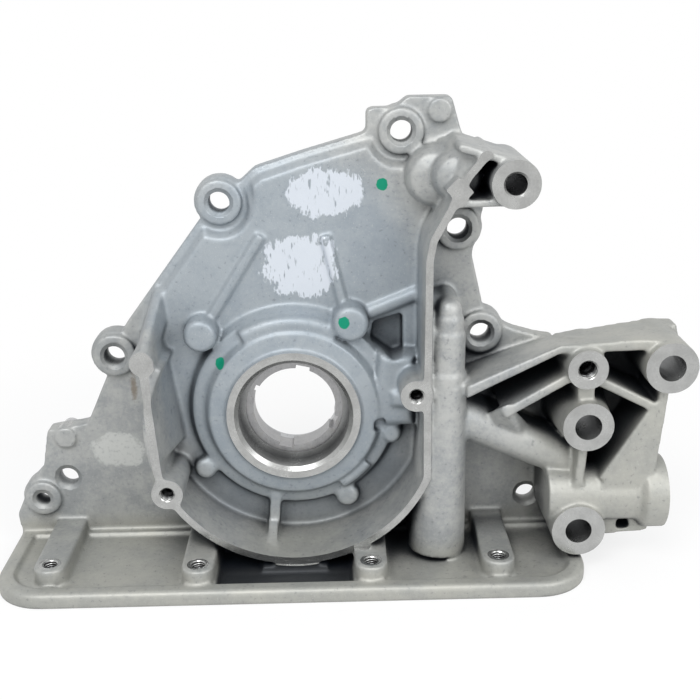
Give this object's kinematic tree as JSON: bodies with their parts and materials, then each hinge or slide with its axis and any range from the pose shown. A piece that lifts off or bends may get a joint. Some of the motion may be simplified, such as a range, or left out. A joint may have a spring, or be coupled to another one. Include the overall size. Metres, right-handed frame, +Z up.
{
  "type": "engine oil pump",
  "caption": "Crank-driven gerotor oil pump in a ribbed die-cast front housing, with seal bore, riser, relief valve, accessory arm and oil pan flange.",
  "frame": {"origin": "where the crankshaft axis meets the rear face that bolts to the cylinder block", "axes": "+Y towards the cylinder block along the crank axis, +Z up, +X to the right seen from the front"},
  "size_m": [0.2896, 0.0695, 0.195],
  "materials": {
    "cast_aluminium": "as cast, faces machined",
    "cover_steel": "ground plate",
    "screw_steel": "zinc plated",
    "rotor_steel": "sintered, ground faces",
    "piston_steel": "ground",
    "spring_steel": "drawn wire",
    "plug_steel": "zinc plated",
    "washer_aluminium": "soft ring",
    "dowel_steel": "ground sleeve"
  },
  "bodies": {
    "body": {"housing": "cast_aluminium", "pump_cover": "cover_steel", "cover_screws": "screw_steel", "relief_spring": "spring_steel", "relief_plug": "plug_steel", "relief_washer": "washer_aluminium", "upper_dowel_sleeve": "dowel_steel", "left_dowel_sleeve": "dowel_steel"},
    "outer_rotor": {"outer_rotor": "rotor_steel"},
    "inner_rotor": {"inner_rotor": "rotor_steel"},
    "relief_piston": {"relief_piston": "piston_steel"}
  },
  "joints": [
    {"name": "outer_rotor_spin", "type": "hinge", "parent": "body", "child": "outer_rotor", "pos_m": [0, -0.0095, -0.0028], "axis": [0, 1, 0], "continuous": true},
    {"name": "inner_rotor_spin", "type": "hinge", "parent": "body", "child": "inner_rotor", "pos_m": [0, -0.0095, 0], "axis": [0, 1, 0], "continuous": true},
    {"name": "relief_piston_slide", "type": "slide", "parent": "body", "child": "relief_piston", "axis": [1, 0, 0], "range_m": [0, 0.006], "stiffness_N_per_m": 2500, "deforming": ["relief_spring"]}
  ],
  "couplings": [
    {"joint": "inner_rotor_spin", "follows": "outer_rotor_spin", "ratio": 1.125}
  ]
}
